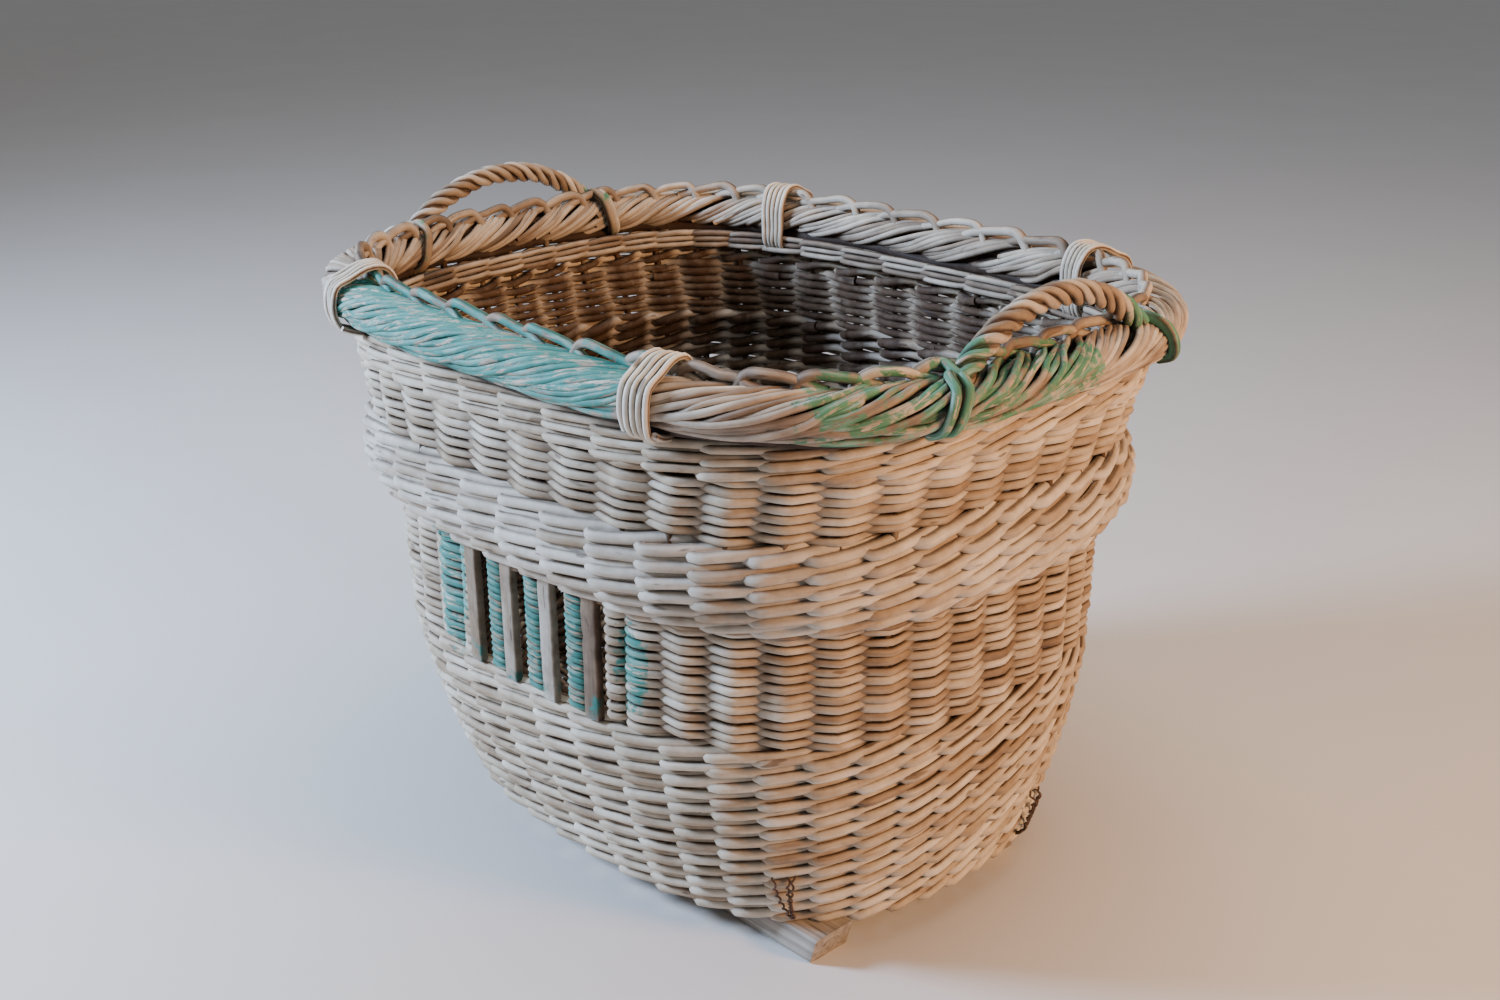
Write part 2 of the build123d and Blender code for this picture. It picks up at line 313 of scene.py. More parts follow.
def tint(red, green, blue):
    """Colour from 0 to 255 values as they show on a screen, turned into the shader's linear values."""
    shown = np.array([red, green, blue]) / 255
    return (*np.where(shown < 0.04045, shown / 12.92, ((shown + 0.055) / 1.055) ** 2.4), 1.0)


class Shader:
    """Small helper that adds nodes to one material and joins them."""

    def __init__(self, name):
        self.material = bpy.data.materials.new(name)
        self.material.use_nodes = True
        self.tree = self.material.node_tree
        self.surface = self.tree.nodes["Principled BSDF"]

    def put(self, socket, value):
        if isinstance(value, bpy.types.NodeSocket):
            self.tree.links.new(value, socket)
        else:
            socket.default_value = value

    def attribute(self, name, output="Fac"):
        node = self.tree.nodes.new("ShaderNodeAttribute")
        node.attribute_name = name
        return node.outputs[output]

    def place(self):
        return self.tree.nodes.new("ShaderNodeTexCoord").outputs["Object"]

    def along_basket(self, vector):
        node = self.tree.nodes.new("ShaderNodeSeparateXYZ")
        self.put(node.inputs[0], vector)
        return node.outputs["X"]

    def scaled(self, vector, scale):
        node = self.tree.nodes.new("ShaderNodeMapping")
        self.put(node.inputs["Vector"], vector)
        node.inputs["Scale"].default_value = scale
        return node.outputs["Vector"]

    def noise(self, vector, scale, detail=4.0, roughness=0.55):
        node = self.tree.nodes.new("ShaderNodeTexNoise")
        self.put(node.inputs["Vector"], vector)
        node.inputs["Scale"].default_value = scale
        node.inputs["Detail"].default_value = detail
        node.inputs["Roughness"].default_value = roughness
        return node.outputs["Fac"]

    def math(self, operation, first, second=0.0, clamp=False):
        node = self.tree.nodes.new("ShaderNodeMath")
        node.operation = operation
        node.use_clamp = clamp
        self.put(node.inputs[0], first)
        self.put(node.inputs[1], second)
        return node.outputs[0]

    def span(self, value, low, high, to_low=0.0, to_high=1.0):
        node = self.tree.nodes.new("ShaderNodeMapRange")
        node.interpolation_type = "SMOOTHSTEP"
        keys = ("Value", "From Min", "From Max", "To Min", "To Max")
        for key, number in zip(keys, (value, low, high, to_low, to_high)):
            self.put(node.inputs[key], number)
        return node.outputs["Result"]

    def mix(self, factor, first, second, blend="MIX"):
        node = self.tree.nodes.new("ShaderNodeMix")
        node.data_type = "RGBA"
        node.blend_type = blend
        self.put(node.inputs["Factor"], factor)
        self.put(node.inputs[6], first)
        self.put(node.inputs[7], second)
        return node.outputs[2]

    def ramp(self, value, stops):
        node = self.tree.nodes.new("ShaderNodeValToRGB")
        self.put(node.inputs["Fac"], value)
        band = node.color_ramp
        while len(band.elements) < len(stops):
            band.elements.new(0.5)
        for element, (position, colour) in zip(band.elements, stops):
            element.position = position
            element.color = colour
        return node.outputs["Color"]

    def bump(self, height, strength, distance, under=None):
        node = self.tree.nodes.new("ShaderNodeBump")
        node.inputs["Strength"].default_value = strength
        node.inputs["Distance"].default_value = distance
        self.put(node.inputs["Height"], height)
        if under is not None:
            self.put(node.inputs["Normal"], under)
        return node.outputs["Normal"]

    def finish(self, colour, roughness, normal, metal=0.0):
        self.put(self.surface.inputs["Base Color"], colour)
        self.put(self.surface.inputs["Roughness"], roughness)
        self.put(self.surface.inputs["Normal"], normal)
        self.put(self.surface.inputs["Metallic"], metal)
        return self.material


TURQUOISE = tint(52, 132, 122)
FADED_PAINT = tint(128, 170, 158)
GREEN = tint(70, 128, 98)


def willow(name, shades, soil_and_shade, paint_colour=TURQUOISE, paint_wear=0.5):
    """Dry willow with its bark mostly gone: streaks along each rod, stains, knots, dirt, worn paint, and
    painted shade that grows with the depth attribute.
    """
    s = Shader(name)
    grain = s.attribute("grain", "Vector")
    tone = s.attribute("tone")
    depth = s.attribute("depth")
    here = s.place()
    streaks = s.noise(s.scaled(grain, (14, 420, 420)), 1.0, 5.0, 0.6)
    fibres = s.noise(s.scaled(grain, (60, 1500, 1500)), 1.0, 3.0)
    blotches = s.noise(s.scaled(grain, (22, 60, 60)), 1.0, 3.0)
    stains = s.noise(here, 7.0, 4.0)
    shade = s.math("ADD", s.math("MULTIPLY", tone, 0.62), s.math("MULTIPLY", streaks, 0.42))
    shade = s.math("ADD", shade, s.math("MULTIPLY", s.math("SUBTRACT", blotches, 0.5), 0.75))
    shade = s.math("ADD", shade, s.math("MULTIPLY", s.math("SUBTRACT", stains, 0.5), 0.6), clamp=True)
    colour = s.ramp(shade, tuple(zip((0.08, 0.36, 0.62, 0.92), shades)))
    knot = s.span(s.noise(s.scaled(grain, (26, 110, 110)), 1.0, 1.0), 0.70, 0.76)
    colour = s.mix(s.math("MULTIPLY", knot, 0.75), colour, soil_and_shade)
    bare = s.span(s.noise(here, 42.0, 5.0, 0.68), s.math("SUBTRACT", 1.0, s.attribute("paint")), 1.12)
    worn = 0.2 * (paint_wear - 0.5)
    chips = s.span(s.noise(s.scaled(grain, (36, 230, 230)), 1.0, 4.0, 0.7), 0.40 + worn, 0.47 + worn)
    paint = s.math("MULTIPLY", s.span(bare, 0.02, 0.16), chips)
    faded = s.span(s.noise(s.scaled(grain, (30, 200, 200)), 1.0, 4.0), 0.48, 0.7)
    hue = s.mix(s.span(s.along_basket(here), 0.27, 0.36), paint_colour, GREEN)
    paint_tone = s.mix(faded, hue, FADED_PAINT)
    colour = s.mix(paint, colour, paint_tone)
    # Random grime patches, plus painted shade in the crevices of the weave from the depth attribute.
    grime_and_shade = s.span(s.noise(here, 55.0, 5.0, 0.65), 0.3, 0.8)
    grime_and_shade = s.math("ADD", s.math("MULTIPLY", grime_and_shade, 0.3), s.span(depth, 0.08, 1.0, 0.0, 0.9), clamp=True)
    colour = s.mix(grime_and_shade, colour, s.mix(1.0, colour, soil_and_shade, "MULTIPLY"))
    dry = s.span(streaks, 0.2, 0.8, 0.55, 0.78)
    roughness = s.math("ADD", dry, s.math("MULTIPLY", grime_and_shade, 0.15), clamp=True)
    normal = s.bump(streaks, 0.5, 0.5 * MM)
    normal = s.bump(fibres, 0.35, 0.25 * MM, normal)
    normal = s.bump(s.math("ADD", paint, s.math("MULTIPLY", knot, 2.0)), 0.5, 0.25 * MM, normal)
    return s.finish(colour, roughness, normal)


CREAM, STRAW, TAN, BARK = tint(214, 206, 191), tint(189, 176, 155), tint(152, 131, 106), tint(94, 74, 58)
ASH, PUTTY = tint(207, 201, 189), tint(180, 169, 153)
# Dark brown for knots, grime and the painted shade in the crevices.
SOIL_AND_SHADE = tint(96, 74, 56)
willow_wall = willow("willow_wall", (BARK, TAN, STRAW, CREAM), SOIL_AND_SHADE)
willow_thick = willow("willow_thick", (BARK, TAN, PUTTY, ASH), SOIL_AND_SHADE)
border_shades = (tint(92, 78, 66), tint(140, 122, 104), PUTTY, tint(206, 196, 180))
willow_border = willow("willow_border", border_shades, SOIL_AND_SHADE)
willow_binding = willow("willow_binding", (TAN, STRAW, CREAM, tint(232, 226, 212)), SOIL_AND_SHADE)
willow_handle = willow("willow_handle", (BARK, TAN, PUTTY, CREAM), SOIL_AND_SHADE, GREEN, 0.45)
willow_stake = willow("willow_stake", (tint(80, 60, 44), tint(126, 98, 72), TAN, STRAW), SOIL_AND_SHADE)


def weathered_wood():
    """Sawn wood gone grey: long grain, dark cracks and stained ends."""
    s = Shader("weathered_wood")
    grain = s.attribute("grain", "Vector")
    rings = s.noise(s.scaled(grain, (5, 160, 160)), 1.0, 6.0, 0.65)
    cracks = s.span(s.noise(s.scaled(grain, (4, 330, 330)), 1.0, 3.0), 0.62, 0.7)
    stains = s.noise(s.place(), 14.0, 5.0)
    greys = ((0.25, tint(112, 104, 95)), (0.5, tint(156, 148, 137)), (0.75, tint(190, 182, 170)))
    colour = s.ramp(rings, greys)
    colour = s.mix(s.span(stains, 0.45, 0.75), colour, tint(120, 104, 86))
    colour = s.mix(cracks, colour, tint(46, 40, 36))
    worn = s.span(s.attribute("depth"), 0.0, 1.0)
    colour = s.mix(s.math("MULTIPLY", worn, 0.25), colour, tint(72, 60, 50))
    normal = s.bump(s.math("SUBTRACT", rings, s.math("MULTIPLY", cracks, 0.8)), 0.7, 0.8 * MM)
    return s.finish(colour, s.span(rings, 0.2, 0.8, 0.65, 0.9), normal)


def rusty_wire():
    """Old steel wire, brown with rust and a little bare metal."""
    s = Shader("rusty_wire")
    rust = s.noise(s.place(), 260.0, 5.0, 0.7)
    colour = s.ramp(rust, ((0.3, tint(48, 38, 33)), (0.55, tint(78, 58, 45)), (0.75, tint(96, 90, 86))))
    normal = s.bump(rust, 0.6, 0.3 * MM)
    return s.finish(colour, s.span(rust, 0.3, 0.8, 0.85, 0.45), normal, s.span(rust, 0.6, 0.8, 0.2, 0.8))


wood = weathered_wood()
wire = rusty_wire()

# ---------------------------------------------------------------- the wall's woven bands

STAKE_RADIUS = 4 * MM
STAKE_INSET = 15 * MM
# Points along a rod from one stake to the next.
WEAVE_STEPS = 7
PLAIN_STEPS = 8
# Waling: the station where each round steps up to the next, and the stakes from one stroke to the next.
STEP_UP = 25
STROKE = 3


def paint_on_wall(points):
    """Paint left on the wall's front: a patch around the windows, strongest left of the first slat."""
    x, z = points[:, 0], points[:, 2]
    front = np.clip((-points[:, 1] - 0.2) / 0.06, 0, 1)
    patch = 0.42 * np.exp(-(((x - 0.04) / 0.17) ** 2) - ((z - 0.33) / 0.1) ** 2)
    edge = 0.9 * np.exp(-(((x + 0.1) / 0.028) ** 4) - ((z - 0.3) / 0.07) ** 4)
    edge += 0.6 * np.exp(-(((x - 0.165) / 0.02) ** 4) - ((z - 0.3) / 0.06) ** 4)
    return np.clip(patch + edge, 0, 0.9) * front


def wale_band(pieces, foot, top, rounds, radius, lift, tuck, tones):
    """A band of waling: three rods take turns to pass over two stakes and behind the third.

    Each round is level, and steps up to the next one at the same place in the back of the basket.
    lift is how far a rod climbs over its stroke, and tuck how far its end tucks in under the next.
    """
    pitch = (top - foot) / rounds
    for weaver in range(STROKE):
        start = STEP_UP + weaver - STROKE
        while start < STEP_UP + STATIONS * rounds:
            # Each rod lasts 9 to 13 strokes before the next one is laid in.
            end = start + STROKE * random.integers(9, 14)
            end = min(end, STEP_UP + weaver + STROKE * round(STATIONS * rounds / STROKE))
            station = np.linspace(start - 0.12, end + 0.12, (end - start) * WEAVE_STEPS)
            turns = np.clip((station - STEP_UP) / STATIONS, 0, rounds - 0.08)
            level = np.floor(turns) + smooth((turns % 1 - 0.97) / 0.03)
            phase = ((station - start) % STROKE) / STROKE
            outside = smooth((phase - 0.05) / 0.14) * smooth((0.96 - phase) / 0.17)
            thick = radius * (1 + random.normal(0, 0.06)) * (1 + waver(station, 0.05, 5))
            lean = tuck * np.interp(phase, (0, 0.2, 0.85, 1), (0.4, 1, -1, -0.4))
            rise = lift * np.interp(phase, (0, 0.15, 0.85, 1), (0, -1, 1, 0)) + waver(station, 0.8 * MM)
            outer = thick + tuck - lean + waver(station, 0.7 * MM)
            inner = STAKE_INSET + STAKE_RADIUS + thick
            z = foot + pitch * (level + 0.5) + rise
            points, normals = wall(angle_at(station), z, inner + (outer - inner) * outside)
            tone = tones[0] + (tones[1] - tones[0]) * random.random() + waver(station, 0.12, 9)
            place = int(np.clip(level.mean() / rounds * len(pieces), 0, len(pieces) - 1))
            taper = 1 - 0.16 * smooth((phase - 0.6) / 0.3) * outside
            # Depth 1 - outside: painted shade on each rod where it passes in behind a stake.
            pieces[place].rod(points, thick * taper, normals, tone, paint_on_wall(points), 1 - outside)
            start = end


def swing(station, parity):
    """How far outside a plain-woven rod lies: 1 in front of one stake, 0 behind the next."""
    eased = 0.985
    return 0.5 + 0.5 * np.arcsin(eased * np.cos(np.pi * (station - parity))) / np.arcsin(eased)


def plain_rod(piece, z, station, outside, radius, inset, tones):
    """One length of plain weave along stations, at height z, which may vary along it."""
    thick = radius * (1 + random.normal(0, 0.07)) * (1 + waver(station, 0.07, 6))
    outer = inset + thick + waver(station, 0.6 * MM)
    inner = STAKE_INSET + STAKE_RADIUS + thick
    rise = waver(station, 0.6 * MM)
    points, normals = wall(angle_at(station), z + rise, inner + (outer - inner) * outside)
    tone = tones[0] + (tones[1] - tones[0]) * random.random() + waver(station, 0.12, 7)
    # Depth 1 - outside: painted shade on each rod where it passes in behind a stake.
    piece.rod(points, thick, normals, tone, paint_on_wall(points), 1 - outside)


def bands(foot, top, rows):
    """Heights of the middles of evenly stacked rows."""
    pitch = (top - foot) / rows
    return foot + pitch * (np.arange(rows) + 0.5)


# Lower wale: thirteen rounds of thick rods.
lower_pieces = [Piece(f"lower_wale_rods_{number + 1}") for number in range(4)]
wale_band(lower_pieces, LOWER_FOOT, LOWER_TOP, 13, 5.2 * MM, 6.2 * MM, 5.8 * MM, (0.4, 0.85))
for piece in lower_pieces:
    piece.build(willow_wall, ["lower_wale"], "wale_willow")

# Belly: six rounds of the thickest rods, with thin rods in the crease below it drawn in the darkest tones as
# painted shade under the belly.
belly_pieces = [Piece(f"belly_wale_rods_{number + 1}", 9) for number in range(2)]
wale_band(belly_pieces, BELLY_FOOT + 3 * MM, BELLY_TOP, 6, 5.7 * MM, 5.6 * MM, 6.2 * MM, (0.5, 0.95))
for parity in (0, 1):
    station = np.linspace(parity, parity + STATIONS + 0.2, STATIONS * PLAIN_STEPS)
    crease = BELLY_FOOT + (2 - 4 * parity) * MM
    plain_rod(belly_pieces[0], crease, station, swing(station, parity), 3.2 * MM, 1 * MM, (0.0, 0.1))
for piece in belly_pieces:
    piece.build(willow_thick, ["belly_wale"], "wale_willow")

# Top wale: three rounds under the border.
piece = Piece("top_wale_rods")
wale_band([piece], RIM_FOOT, RIM_TOP, 3, 4.3 * MM, 4.6 * MM, 4.6 * MM, (0.4, 0.85))
piece.build(willow_wall, ["top_wale"], "wale_willow")

# Upper weave: thin rods all the way round, two to a row, with their ends overlapping.
WEAVE_INSET = 2.5 * MM
UPPER_ROWS = 13
UPPER_REACH = 20
upper_heights = bands(BELLY_TOP, RIM_FOOT, UPPER_ROWS)
for number, rows in enumerate(np.array_split(np.arange(UPPER_ROWS), 2)):
    piece = Piece(f"upper_weave_rods_{number + 1}")
    for row in rows:
        parity = row % 2
        start = parity + 1 + 2 * random.integers(STATIONS // 2) - 0.15
        for span in (UPPER_REACH, STATIONS - UPPER_REACH):
            station = np.linspace(start, start + span + 0.35, span * PLAIN_STEPS)
            outside = swing(station, parity)
            plain_rod(piece, upper_heights[row], station, outside, 4.45 * MM, WEAVE_INSET, (0.4, 0.95))
            start += span
    piece.build(willow_wall, ["upper_weave"], "weave_willow")

# Middle weave: one snake of rods in each half of the basket, turning back at the windows.
SLAT_PLACES = (-60 * MM, 0.0, 60 * MM, 120 * MM)
SLAT_WIDTH = 18 * MM
SLAT_DEPTH = 9 * MM
SLOT_WIDTH = 14 * MM
BLOCK_WIDTH = SIDE_SPACING - SLAT_WIDTH - SLOT_WIDTH
MIDDLE_ROWS = 25
middle_heights = bands(LOWER_TOP, BELLY_FOOT, MIDDLE_ROWS)
row_pitch = (BELLY_FOOT - LOWER_TOP) / MIDDLE_ROWS
window_start = station_of(SLAT_PLACES[0] - SLAT_WIDTH / 2)
window_end = station_of(SLAT_PLACES[-1] + SLAT_WIDTH / 2 + SLOT_WIDTH)
HALF_ROUND = STATIONS / 2
TURN_ROOM = 0.07
for number, (first, last) in enumerate(
    ((window_end, HALF_ROUND + window_start), (HALF_ROUND + window_end, STATIONS + window_start))
):
    first, last = first + TURN_ROOM, last - TURN_ROOM
    for share, rows in enumerate(np.array_split(np.arange(MIDDLE_ROWS), 2)):
        piece = Piece(f"middle_weave_rods_{2 * number + share + 1}")
        for row in rows:
            forward = row % 2 == 0
            station = np.linspace(first, last, int((last - first) * PLAIN_STEPS))
            station = station if forward else station[::-1]
            begun = np.abs(station - station[0])
            left = np.abs(station - station[-1])
            outside = swing(station, row % 2) * smooth((begun - 0.05) / 0.35)
            outside = 1 - (1 - outside) * smooth((left - 0.05) / 0.35)
            bend = np.linspace(0, np.pi, 8)[1:]
            beyond = station[-1] + (1 if forward else -1) * TURN_ROOM * np.sin(bend)
            station = np.concatenate([station, beyond])
            outside = np.concatenate([outside, 0.5 + 0.5 * np.cos(bend)])
            z = np.full(len(station), middle_heights[row])
            z[-len(bend):] += row_pitch * bend / np.pi
            z = np.minimum(z, BELLY_FOOT - 3 * MM)
            plain_rod(piece, z, station, outside, 4.4 * MM, WEAVE_INSET, (0.35, 0.8))
        piece.build(willow_wall, ["middle_weave"], "weave_willow")

# ---------------------------------------------------------------- windows

window_middle = (LOWER_TOP + BELLY_FOOT) / 2


def window_plane(x, back):
    """Foot of a place in the window, the level direction along the wall, and the outward normal."""
    point, normal = wall(front_angle(x, window_middle), window_middle, 0.0)
    turn = -1 if back else 1
    point, normal = point * (turn, turn, 1), normal * (turn, turn, 1)
    return point, np.cross(UP, normal), normal


def rounded_bar(width, depth, corner=0.2, steps=3):
    """Section of a sawn bar with eased edges, as (out, across) pairs."""
    easing = corner * depth
    section = []
    for quarter, (out, across) in enumerate(((1, 1), (-1, 1), (-1, -1), (1, -1))):
        out, across = out * (depth / 2 - easing), across * (width / 2 - easing)
        for turn in np.linspace(0, np.pi / 2, steps) + quarter * np.pi / 2:
            section.append((out + easing * cos(turn), across + easing * sin(turn)))
    return np.array(section)


BLOCK_ROD = 3.5 * MM
BLOCK_TURNS = 17
BLOCK_HALF_DEPTH = 6.5 * MM
for back, side in ((False, "front"), (True, "back")):
    slats = Piece(f"window_slat_bars_{side}")
    for place in SLAT_PLACES:
        point, along, normal = window_plane(place, back)
        z = np.linspace(LOWER_TOP - 4 * MM, BELLY_FOOT + 4 * MM, 16)
        points = point - normal * (SLAT_DEPTH / 2 + 2 * MM) + along * random.normal(0, 0.35 * MM, (16, 1))
        points[:, 2] = z
        thick = 1 + random.normal(0, 0.012, 16)
        paint = np.clip(0.6 - 0.35 * smooth((z - LOWER_TOP) / 0.06) + random.normal(0, 0.06), 0, 1)
        paint *= not back
        # Depth 0.2, with the crease on the bar's sides, paints shade on the slats, darkest on their sides.
        slats.rod(points, thick, normal, None, paint, 0.2, rounded_bar(SLAT_WIDTH, SLAT_DEPTH))
    slats.build(willow_thick, [f"window_slats_{side}"], "slat_wood")

    blocks = Piece(f"window_block_rods_{side}")
    for left, right in zip(SLAT_PLACES, SLAT_PLACES[1:]):
        place = (left + SLAT_WIDTH / 2 + SLOT_WIDTH + right - SLAT_WIDTH / 2) / 2
        point, along, normal = window_plane(place, back)
        angle = np.linspace(0, 2 * np.pi * BLOCK_TURNS, BLOCK_TURNS * 14)
        reach = (np.abs(np.cos(angle)) ** 3 + np.abs(np.sin(angle)) ** 3) ** (-1 / 3)
        across = (BLOCK_WIDTH / 2 - BLOCK_ROD) * reach * np.cos(angle)
        outward = BLOCK_HALF_DEPTH * reach * np.sin(angle)
        middle = point - normal * (WEAVE_INSET + 9.5 * MM)
        points = middle + across[:, None] * along + outward[:, None] * normal
        points[:, 2] = np.linspace(LOWER_TOP + 1 * MM, BELLY_FOOT - 1 * MM, len(angle))
        points += random.normal(0, 0.25 * MM, points.shape)
        centre = middle * (1, 1, 0) + UP * points[:, 2:]
        facing = points - centre
        paint = 0.0 if back else 0.8
        knots = np.arange(0, len(angle) + 40, 40)
        tone = 0.35 + 0.3 * np.interp(np.arange(len(angle)), knots, random.random(len(angle) // 40 + 2))
        blocks.rod(points, BLOCK_ROD, facing, tone, paint, 0.3)
        # The stake stub inside each block is drawn dark, with painted shade from depth 0.8.
        stub = np.stack([middle * (1, 1, 0) + UP * z for z in np.linspace(LOWER_TOP, BELLY_FOOT, 8)])
        blocks.rod(stub, STAKE_RADIUS, normal, 0.2, 0.0, 0.8)
    blocks.build(willow_wall, [f"window_blocks_{side}"], "weave_willow")

# ---------------------------------------------------------------- stakes

stakes = Piece("stake_rods")
border_low, border_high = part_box("border")
stake_top = border_low[2] + 12 * MM
slat_angles = both_halves(np.array([front_angle(x, BELLY_TOP) for x in SLAT_PLACES]))
for angle in stake_angles:
    spans = ((LOWER_FOOT + 4 * MM, stake_top),)
    if np.abs(slat_angles - angle).min() < 1e-6:
        spans = ((LOWER_FOOT + 4 * MM, LOWER_TOP - 4 * MM), (BELLY_FOOT + 4 * MM, stake_top))
    lean = random.normal(0, 0.004)
    for low, high in spans:
        z = np.linspace(low, high, max(6, int((high - low) / 0.022)))
        points, normals = wall(angle + lean * np.sin(z * 9), z, STAKE_INSET)
        # Depth 0.6 paints shade on the stakes, which stand inside the weave.
        stakes.rod(points, STAKE_RADIUS, normals, None, 0.0, 0.6)
stakes.build(willow_stake, ["stakes"], "stake_willow")

# ---------------------------------------------------------------- base

base_low, base_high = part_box("base_weave")
stick_low, stick_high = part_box("base_sticks")
STICK_COUNT = 7
STICK_RADIUS = 5 * MM
stick_places = np.linspace(stick_low[0] + STICK_RADIUS, stick_high[0] - STICK_RADIUS, STICK_COUNT)
stick_level = (base_low[2] + base_high[2]) / 2
base_a, base_b = base_high[0], base_high[1]


def base_half(place, long_half, wide_half):
    """Half size of the base oval across the place."""
    return wide_half * max(1 - abs(place / long_half) ** 2.6, 0) ** (1 / 2.6)


# The base rods carry depth 0.5, painted shade of rods half hidden in the weave.
sticks = Piece("base_stick_rods", 10)
for place in stick_places:
    half = base_half(place, base_a, base_b) - 4 * MM
    y = np.linspace(-half, half, 24)
    points = np.stack([place + 0.6 * MM * np.sin(y * 30), y, np.full(24, stick_level)], -1)
    sticks.rod(points, STICK_RADIUS, UP, None, 0.0, 0.5)
sticks.build(willow_stake, ["base_sticks"], "base_willow")

floor_rods = Piece("base_weave_rods", 7)
BASE_ROD = 3.6 * MM
base_rows = int(2 * base_b / (6.9 * MM))
stick_gap = stick_places[1] - stick_places[0]
for row, y in enumerate(np.linspace(0.6 * BASE_ROD - base_b, base_b - 0.6 * BASE_ROD, base_rows)):
    half = base_half(y, base_b, base_a) + BASE_ROD
    x = np.linspace(-half, half, max(12, int(2 * half / (13 * MM))))
    phase = np.pi * ((x - stick_places[0]) / stick_gap + row % 2)
    rise = (STICK_RADIUS + BASE_ROD - 1.2 * MM) * np.tanh(1.6 * np.cos(phase)) / np.tanh(1.6)
    points = np.stack([x, y + waver(x / stick_gap, 0.4 * MM), stick_level + rise], -1)
    floor_rods.rod(points, BASE_ROD, UP, None, 0.0, 0.5)
floor_rods.build(willow_wall, ["base_weave"], "base_willow")

# ---------------------------------------------------------------- border

ROLL_A = 28 * MM
ROLL_B = 23 * MM
ROLL_SQUARE = 2.4
BORDER_SQUARENESS = SQUARENESS[-1]
ROLL_LEVEL = (border_low[2] + border_high[2]) / 2
roll_long, roll_wide = border_high[0] - ROLL_A, border_high[1] - ROLL_A


def roll_place(station, out, z):
    """Points of the border at stations, out from the roll's middle line and at heights z, and normals."""
    points, normals = oval(roll_long, roll_wide, BORDER_SQUARENESS, angle_at(station))
    points = points + normals * np.asarray(out)[:, None]
    points[:, 2] = z
    return points, normals


def roll_skin(station, turn, sunk):
    """Points sunk under the roll's surface at an angle round its section (0 out, 90 degrees up)."""
    c, s = np.cos(turn), np.sin(turn)
    reach = (np.abs(c) ** ROLL_SQUARE + np.abs(s) ** ROLL_SQUARE) ** (-1 / ROLL_SQUARE)
    out = (ROLL_A - sunk) * reach * c
    z = ROLL_LEVEL + (ROLL_B - sunk) * reach * s
    points, normals = roll_place(station, out, z)
    facing = normals * c[:, None] + UP * s[:, None]
    return points, facing


def border_paint(points, tone):
    """Paint kept on the border: nearly all of the front between the bindings, patches elsewhere."""
    x, y = points[:, 0], points[:, 1]
    front = smooth((-y - 0.2) / 0.05)
    between = smooth((x + 0.25) / 0.02) * smooth((0.225 - x) / 0.02)
    near = smooth((x - 0.3) / 0.05) * smooth((0.1 - y) / 0.08) * smooth((y + 0.3) / 0.06)
    rim = smooth((y - 0.2) / 0.08) * smooth((0.1 - x) / 0.1)
    far = smooth((-x - 0.3) / 0.04)
    kept = 0.93 * front * between + 0.74 * near + 0.4 * rim + 0.3 * far
    return np.clip(kept, 0, 0.97) * (0.85 + 0.15 * tone)


BUNDLE_RODS = 4
BUNDLE_RADIUS = 3.6 * MM
BUNDLE_FAN = 14
BUNDLE_KEYS = (
    # stations past the bundle's own, degrees round the roll of its lowest rod, millimetres sunk
    (2.45, 225, 8.0),
    (2.00, 200, 3.0),
    (1.45, 168, 0.5),
    (0.92, 132, 0.0),
    (0.45, 98, 0.0),
    (0.00, 66, 0.0),
    (-0.50, 34, 0.0),
    (-1.05, 0, 0.3),
    (-1.65, -30, 0.8),
    (-2.35, -48, 1.6),
    (-3.00, -46, 3.6),
    (-3.55, -26, 7.5),
    (-4.00, 0, 12.0),
)
border_pieces = [Piece(f"border_rods_{number + 1}", 7) for number in range(4)]
for station in range(STATIONS):
    piece = border_pieces[station * 4 // STATIONS]
    loose = smooth((station - 7.0) / 2) * smooth((15 - station) / 2)
    drop = random.normal(0, 0.06)
    for number in range(BUNDLE_RODS):
        keys = np.array(BUNDLE_KEYS, dtype=float)
        keys[:, 0] += station + drop + random.normal(0, 0.03 + 0.05 * loose, len(keys))
        keys[:, 1] += BUNDLE_FAN * number + random.normal(0, 1.5 + 4 * loose)
        keys[:, 1] += random.normal(0, 1.2, len(keys))
        keys[:, 2] += random.normal(0, 0.5 + 0.8 * loose) + random.normal(0, 0.4, len(keys))
        first = random.integers(0, 3) if random.random() < 0.3 else 0
        line = glide(keys[first:], 46)
        thick = BUNDLE_RADIUS * (1 + random.normal(0, 0.09))
        points, facing = roll_skin(line[:, 0], np.radians(line[:, 1]), line[:, 2] * MM + thick)
        tone = np.clip(random.normal(0.5, 0.2), 0, 1)
        # Painted shade where the rod sinks in under the roll.
        depth = np.clip(line[:, 2] / 6, 0, 1)
        taper = np.linspace(1.06, 0.9, len(line))
        piece.rod(points, thick * taper, facing, tone, border_paint(points, tone), depth)
for piece in border_pieces:
    piece.build(willow_border, ["border"], "border_willow")

# A core inside the roll, drawn dark as painted shade: rods that run all the way round between the bundles.
core = Piece("border_core_rods")
for out, z in ((-12, -6), (2, -9), (12, -2), (-10, 8), (4, 9), (-13, -17), (3, -18)):
    station = np.linspace(0, STATIONS + 0.4, STATIONS * 5)
    shift = 1.5 * MM * np.sin(station * 2.2 + out)
    points, normals = roll_place(station, out * MM + shift, ROLL_LEVEL + z * MM + shift)
    core.rod(points, 6.5 * MM, normals, 0.1, 0.0, 1.0)

